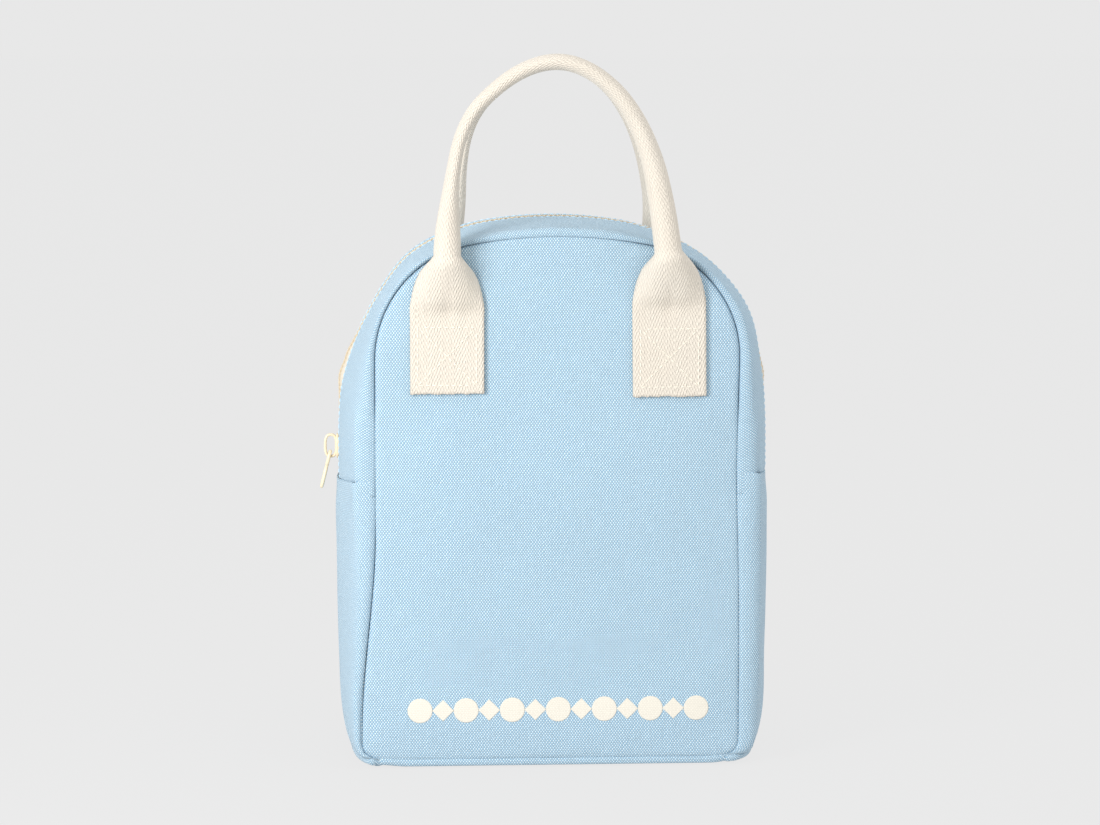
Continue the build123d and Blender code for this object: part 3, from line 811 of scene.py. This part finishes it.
def make_handle(name, side):
    """Webbing that lies flat where it is sewn and rolls up above, with the cotton core inside the roll."""
    rows, columns = 250, 27
    line = spline(GRIP_LINE, rows)
    if side > 0:
        line = line + (BACK_SHIFT, 0) + np.outer(smooth((line[:, 1] - 250) / 50), (5.0, -1.0))
    along = length_along(line)
    tangent = np.gradient(line, axis=0)
    tangent /= np.linalg.norm(tangent, axis=1)[:, None]
    lateral = stacked(-tangent[:, 1], tangent[:, 0])
    rng = random.Random(5 if side < 0 else 8)
    left = np.arange(rows) < rows / 2
    leg = np.where(left, along, along[-1] - along)
    start = np.where(left, 38.0, 42.0)
    t = np.clip((leg - start) / 33, 0, 1)
    curl = 0.60 * t * smooth(t * 3) + 0.40 * t ** 8
    k = np.maximum(curl * 2 * math.pi * 0.975 / WEB_WIDTH, 1e-5)[:, None]
    share = np.arange(rows) / (rows - 1)
    wide = np.interp(share, GRIP_WIDE[0], GRIP_WIDE[1])
    wide = np.convolve(np.pad(wide, 6, "edge"), np.ones(13) / 13, "valid")
    thick = 1 + 0.45 * (1 - wide)
    s = np.linspace(-WEB_WIDTH / 2, WEB_WIDTH / 2, columns)[None]
    a = np.sin(k * s) / k * wide[:, None]
    b = (np.cos(k * s) - np.cos(k * WEB_WIDTH / 2)) / k * thick[:, None]
    # where it starts to roll up, its middle is pressed in
    b = b - 1.1 * bell((leg - start - 9) / 9)[:, None] * bell(s / 3.5)
    x = line[:, 0, None] + lateral[:, 0, None] * a
    z = line[:, 1, None] + lateral[:, 1, None] * a
    # it rests on the panel, and above the panel it goes straight up
    up = smooth((z - 240) / 22)
    ground = wall_depth(x, np.minimum(z, 268), side) * (1 - up) + GRIP_DEPTH * up + WEB / 2 + 0.1
    wander = (-side * 1.3 * np.sin(share * math.pi))[:, None]
    y = ground + b + wander * curl[:, None]
    # the cut lower edges are a little ragged
    for row in (0, rows - 1):
        z[row] += np.array([rng.uniform(-0.35, 0.35) for _ in range(columns)])
    obj = grid(name, stacked(x, side * y, z), stacked(s + WEB_WIDTH / 2, along[:, None]))
    normals = np.array([p.normal for p in obj.data.polygons])[:columns * 10]
    if (normals[:, 1] * side).mean() < 0:
        obj.data.flip_normals()
    # a cotton core fills the roll where its edges meet
    inner = curl > 0.985
    turn = around(20)[None]
    radius = WEB_WIDTH / 2 / math.pi
    a = (radius * wide[inner, None] - 1.2) * np.cos(turn)
    b = (radius * thick[inner, None] - 1.2) * np.sin(turn) + radius * thick[inner, None]
    y = ground[inner].mean(axis=1)[:, None] + b + wander[inner]
    core = stacked(line[inner, 0, None] + lateral[inner, 0, None] * a, side * y,
                   line[inner, 1, None] + lateral[inner, 1, None] * a)
    uv = stacked(turn * 3, along[inner, None])
    faces = tube_faces(len(core), turn.size)
    core = recalc(to_object(name.replace("webbing", "core"), core.reshape(-1, 3), faces, uv.reshape(-1, 2)))
    return thicken(obj, WEB, 0), core


HANDLE_BLEND = dict(start=(0, 0, 0.262), end=(0, 0, 0.300))
SEWN_TO = {-1: "front_top", 1: "bag"}
for side, label in SIDES:
    handle, core = make_handle(f"{label}_handle_webbing", side)
    nodes = [f"{label}_handle_{stretch}" for stretch in ("left_end", "right_end", "loop")]
    blend = ((SEWN_TO[side], f"{label}_handle"), HANDLE_BLEND)
    place(handle, "webbing", nodes, blend=blend)
    place(core, "webbing", blend=blend)


# ---------------------------------------------------------------- stitching
def stitches(name, rows, length=2.6, gap=0.8, radius=0.27):
    """Thread along each line of rows, (points, normals), in short stitches that dip at both ends."""
    points, faces = [], []
    for line, normals in rows:
        along = length_along(line)
        for start in np.arange(0.3, along[-1] - length, length + gap):
            at = start + length * np.array([0, 0.18, 0.5, 0.82, 1.0])
            lift = np.array([-0.35, 0.05, 0.16, 0.05, -0.35])
            girth = np.array([0.55, 1, 1.05, 1, 0.55]) * radius
            centre, normal = sample(at, along, line), sample(at, along, normals)
            normal /= np.linalg.norm(normal, axis=1)[:, None]
            ahead = centre[-1] - centre[0]
            ahead /= np.linalg.norm(ahead) + 1e-9
            across = np.cross(ahead, normal)
            first = len(points)
            for c, n, q, up, r in zip(centre, normal, across, lift, girth):
                for turn in around(6):
                    points.append(c + n * (up + r * math.cos(turn)) + q * r * math.sin(turn))
            faces += tube_faces(len(at), 6, first)
    return recalc(to_object(name, points, faces))


def box_stitch(centre, side, low):
    """A square with both its diagonals, sewn through the webbing."""
    half, count = 15.0, 14
    corners = [(-half, low), (half, low), (half, low + 2 * half), (-half, low + 2 * half)]
    lines = list(zip(corners, corners[1:] + corners[:1])) + [corners[::2], corners[1::2]]
    rows = []
    for a, b in lines:
        flat = np.linspace(a, b, count) + (centre, 0)
        y = wall_depth(flat[:, 0], flat[:, 1], side) + WEB + 0.12
        line = stacked(flat[:, 0], side * y, flat[:, 1])
        rows.append((line, np.tile((0.0, side, 0.0), (count, 1))))
    return rows


ZIP_STITCH = np.array([(11.4, 0.975)])          # where the top stitching lies: (distance from the zip, share)
for side, label in SIDES:
    shift = BACK_SHIFT if side > 0 else 0
    # boxed crosses on the webbing
    rows = box_stitch(shift - HANDLE_X, side, 201.0) + box_stitch(shift + HANDLE_X, side, 199.5)
    place(stitches(f"{label}_handle_thread", rows), "thread", [f"{label}_handle_stitching"], SEWN_TO[side])
    # top stitching along the folded edge at the zip
    line = strip_surface(side, ZIP_STITCH, [0.0], 260, seed=side)[0][:, 0]
    _, normals = crest_arch(FOLD, len(line))
    normals = np.insert(normals, 1, 0, axis=1)
    place(stitches(f"{label}_zip_thread", [(line, normals)]), "thread", **CARRIER[side], finish="blue_thread")


# ---------------------------------------------------------------- zip teeth and stops
TEETH_FOOT = FOLD + 11          # height of the lowest tooth
PITCH, TOOTH_SLIM = 2.4, 0.62


def make_teeth(name, side):
    """Moulded teeth clamped on the tape's beaded edge; the rows mesh half a pitch apart."""
    line, normals = crest_arch(TEETH_FOOT, 1200)
    along = length_along(line)
    points, faces = [], []
    # from the tape to the head: (distance over the zip's middle, half-length, half-height)
    profile = [(-2.55, 0.80, 0.75), (-2.0, 1.0, 1.05), (-1.0, 1.0, 1.1), (-0.35, 0.62, 1.05),
               (0.1, 0.62, 1.0), (0.5, 0.95, 0.95), (0.75, 0.7, 0.7)]
    section = ((-1, -0.55), (-0.7, -1), (0.7, -1), (1, -0.55), (1, 0.55), (0.7, 1), (-0.7, 1), (-1, 0.55))
    for start in np.arange(2.0 + (PITCH / 2 if side > 0 else 0), along[-1] - 1.0, PITCH):
        c, n = sample(start, along, line), sample(start, along, normals)
        n /= np.linalg.norm(n)
        t = np.array([n[1], -n[0]])
        c = c - n * (zip_inset(c[0], c[1]) - 0.1)
        faces += tube_faces(len(profile), len(section), len(points))
        for y, half_length, half_height in profile:
            for p, q in section:
                at = c + t * TOOTH_SLIM * half_length * p + n * half_height * q
                points.append((at[0], -side * y, at[1]))
    return recalc(to_object(name, points, faces, shade=False))


for side, label in SIDES:
    place(make_teeth(f"{label}_teeth", side), "zip_teeth", [f"{label}_zip_teeth"], **CARRIER[side])


# ---------------------------------------------------------------- print
PRINT_Z, PRINT_STEP, DISC, DIAMOND = 31, 24, 6.5, 5.66
PRINT_RINGS = (0.999, 0.92, 0.75, 0.5, 0.25)


def make_print():
    """A row of discs with diamonds between them, printed on the front."""
    points, faces = [], []

    def blob(middle, outline):
        faces.extend(dome_faces(len(PRINT_RINGS), len(outline), len(points)))
        for ring in (*PRINT_RINGS, 0):
            for x, z in outline if ring else [(0, 0)]:
                points.append((middle * PRINT_STEP + x * ring, PRINT_Z + z * ring))

    disc = [(DISC * math.cos(a), DISC * math.sin(a)) for a in around(48)]
    corner = np.array([(DIAMOND, 0), (0, DIAMOND), (-DIAMOND, 0), (0, -DIAMOND)])
    diamond = [p + (q - p) * t for p, q in zip(corner, np.roll(corner, -1, axis=0))
               for t in np.linspace(0, 1, 8, endpoint=False)]
    for i in range(7):
        blob(i - 3, disc)
    for i in range(6):
        blob(i - 2.5, diamond)
    flat = np.array(points)
    y = -(wall_depth(flat[:, 0], flat[:, 1], -1) + 0.12)
    points = stacked(flat[:, 0], y, flat[:, 1])
    return thicken(to_object("front_print_ink", points, faces, flat, (0, 0, MID_Z)), 0.1)


place(make_print(), "print_ink", ["front_print"], "bag")

# ---------------------------------------------------------------- slider and pull
SLIDER_MIDDLE = np.array([-112.0, 0, 163.0])    # between its plates, on the zip's track
PLATE_AT, PLATE = 1.4, 1.3                      # from there to a plate's inner face, and its thickness
CROWN_MIDDLE = np.array([-117.45, 0, 163.0])
PIVOT = np.array([-117.75, 0, 160.0])           # the crown's bar that the pull hangs on
LEAN = math.radians(14)


def rounded(angle, power):
    """Points of a rounded rectangle of half sizes 1 and 1; power 1 is an ellipse."""
    c, s = np.cos(angle), np.sin(angle)
    return np.sign(c) * np.abs(c) ** power, np.sign(s) * np.abs(s) ** power


def rings(name, levels, closed=False):
    """Joins rings of points one after the other, in a loop or with both ends filled."""
    count, each = len(levels), len(levels[0])
    faces = tube_faces(count, each)
    if closed:
        last = (count - 1) * each
        faces[-2:] = [(last + j, last + (j + 1) % each, (j + 1) % each, j) for j in range(each)]
    return recalc(to_object(name, np.vstack(levels), faces))


def wire_loop(name, centre, e1, e2, half1, half2, power, thick, wide):
    """A closed bar round a rounded loop in the plane of e1 and e2."""
    normal = np.cross(e1, e2)
    q, w = rounded(around(16), 0.8)
    levels = []
    for angle in around(72):
        a, b = rounded(angle, power)
        for_a = half1 * a + math.cos(angle) * thick * q
        for_b = half2 * b + math.sin(angle) * thick * q
        levels.append(centre + for_a[:, None] * e1 + for_b[:, None] * e2 + (wide * w)[:, None] * normal)
    return rings(name, levels, closed=True)


def join(name, objects):
    """One object of several."""
    mesh = bmesh.new()
    for obj in objects:
        mesh.from_mesh(obj.data)
        bpy.data.objects.remove(obj)
    data = bpy.data.meshes.new(name)
    mesh.to_mesh(data)
    mesh.free()
    obj = bpy.data.objects.new(name, data)
    bpy.context.scene.collection.objects.link(obj)
    return obj


def slider_ring(x, y, z):
    return SLIDER_MIDDLE + stacked(x, y, z)


# the sections that follow one another: of a plate (share of its thickness, size), of a lip (height, size),
# of the wedge (height, half-width), and of the pull (distance from its pivot, half-width, half-thickness)
PLATE_LEVELS = ((0, 0.93), (0.12, 0.99), (0.45, 1.0), (0.75, 0.98), (0.93, 0.92), (1, 0.84), (1.04, 0.5))
LIP_LEVELS = ((-4.6, 0.5), (-4.3, 0.9), (-3.5, 1), (0, 1), (3.5, 1), (4.3, 0.9), (4.6, 0.5))
WEDGE_LEVELS = ((-6.0, 0.7), (-5.4, 1.25), (-4.2, 1.3), (-3.0, 0.8), (-2.1, 0.25))
PULL_LEVELS = ((7.2, 1.2, 0.55), (7.8, 1.9, 0.8), (8.8, 2.4, 0.92), (10.5, 2.75, 1.0), (13, 2.85, 1.0),
               (17, 3.0, 1.0), (18.8, 2.95, 0.98), (19.6, 2.6, 0.85), (20.0, 2.1, 0.6), (20.2, 1.4, 0.3))


def make_slider():
    """Two rounded plates, narrower towards the closed end, with lips and a wedge between."""
    y, z = rounded(around(48), 0.62)
    taper = 1 - 0.13 * (z + 1) / 2
    q, w = rounded(around(12), 0.7)
    pieces = []
    for sign in (-1, 1):
        levels = [slider_ring(sign * (PLATE_AT + share * PLATE), 4.75 * y * taper * size, 6.5 * z * size)
                  for share, size in PLATE_LEVELS]
        pieces.append(rings("plate", levels))
        for edge in (-1, 1):
            levels = [slider_ring(sign * (1.15 + 0.45 * q * size),
                                  edge * (4.35 - 0.06 * (at + 4.6)) + 0.4 * w * size, at)
                      for at, size in LIP_LEVELS]
            pieces.append(rings("lip", levels))
    q, w = rounded(around(16), 0.5)
    pieces.append(rings("wedge", [slider_ring(1.5 * q, half * w, at) for at, half in WEDGE_LEVELS]))
    return join("slider_plates", pieces)


def make_pull():
    """A flat tab with rounded edges that widens below its round eye."""
    down = np.array([-math.sin(LEAN), 0, -math.cos(LEAN)])
    face = np.array([-math.cos(LEAN), 0, math.sin(LEAN)])
    across = np.array([0.0, 1.0, 0.0])
    eye = wire_loop("eye", PIVOT + 3.9 * down, down, across, 3.85, 2.2, LOOP_CORNER, 0.8, 0.9)
    q, w = rounded(around(28), 0.55)
    levels = [PIVOT + at * down + (wide * q)[:, None] * across + (thick * w)[:, None] * face
              for at, wide, thick in PULL_LEVELS]
    return join("pull_tab_shape", [eye, rings("tab", levels)])


EAST, UP = np.array([1.0, 0, 0]), np.array([0, 0, 1.0])
LOOP_CORNER = 0.72              # how square the crown and the pull's eye are
place(make_slider(), "slider_metal", ["slider_body"], "slider")
crown = wire_loop("slider_crown_wire", CROWN_MIDDLE, EAST, UP, 2.95, 5.75, LOOP_CORNER, 0.75, 1.15)
place(crown, "slider_metal", ["slider_crown"], "slider")
place(make_pull(), "slider_metal", ["pull_tab"], "pull")

# ---------------------------------------------------------------- what stays of the CAD
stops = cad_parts["zip_end_stops"]
if not stops.material_slots:
    stops.data.materials.append(MATERIALS["zip_teeth"])
for used in stops.material_slots:
    used.material = MATERIALS["zip_teeth"]

# ---------------------------------------------------------------- floor and light
FAR = 40000
GLOW, WORLD = 0.771, 0.806      # light of the floor itself, and grey of the world
corners = [(-FAR, -FAR, 0), (FAR, -FAR, 0), (FAR, FAR, 0), (-FAR, FAR, 0)]
floor = to_object("floor", corners, [(0, 1, 2, 3)])
pale = bpy.data.materials.new("floor")
pale.use_nodes = True
shader = pale.node_tree.nodes["Principled BSDF"]
shader.inputs["Base Color"].default_value = (0.04, 0.04, 0.04, 1)
shader.inputs["Roughness"].default_value = 1.0
shader.inputs["Specular IOR Level"].default_value = 0.0
shader.inputs["Emission Color"].default_value = (1, 1, 1, 1)
shader.inputs["Emission Strength"].default_value = GLOW
floor.data.materials.append(pale)

world = bpy.data.worlds.new("studio")
bpy.context.scene.world = world
world.use_nodes = True
world.node_tree.nodes["Background"].inputs[0].default_value = (WORLD, WORLD, WORLD, 1)
world.node_tree.nodes["Background"].inputs[1].default_value = 1.0


def area_light(name, place_at, target, size, power):
    data = bpy.data.lights.new(name, "AREA")
    data.shape, data.size, data.energy = "DISK", size, power
    obj = bpy.data.objects.new(name, data)
    obj.location = place_at
    obj.rotation_euler = (Vector(target) - Vector(place_at)).to_track_quat("-Z", "Y").to_euler()
    bpy.context.scene.collection.objects.link(obj)


area_light("key", (-0.60, -0.74, 0.42), (0, 0, 0.14), 0.45, 7.3)
area_light("fill", (1.6, -1.2, 0.9), (0, 0, 0.16), 1.2, 5)
area_light("top", (0.2, -0.1, 1.6), (0, 0, 0.2), 1.0, 4)
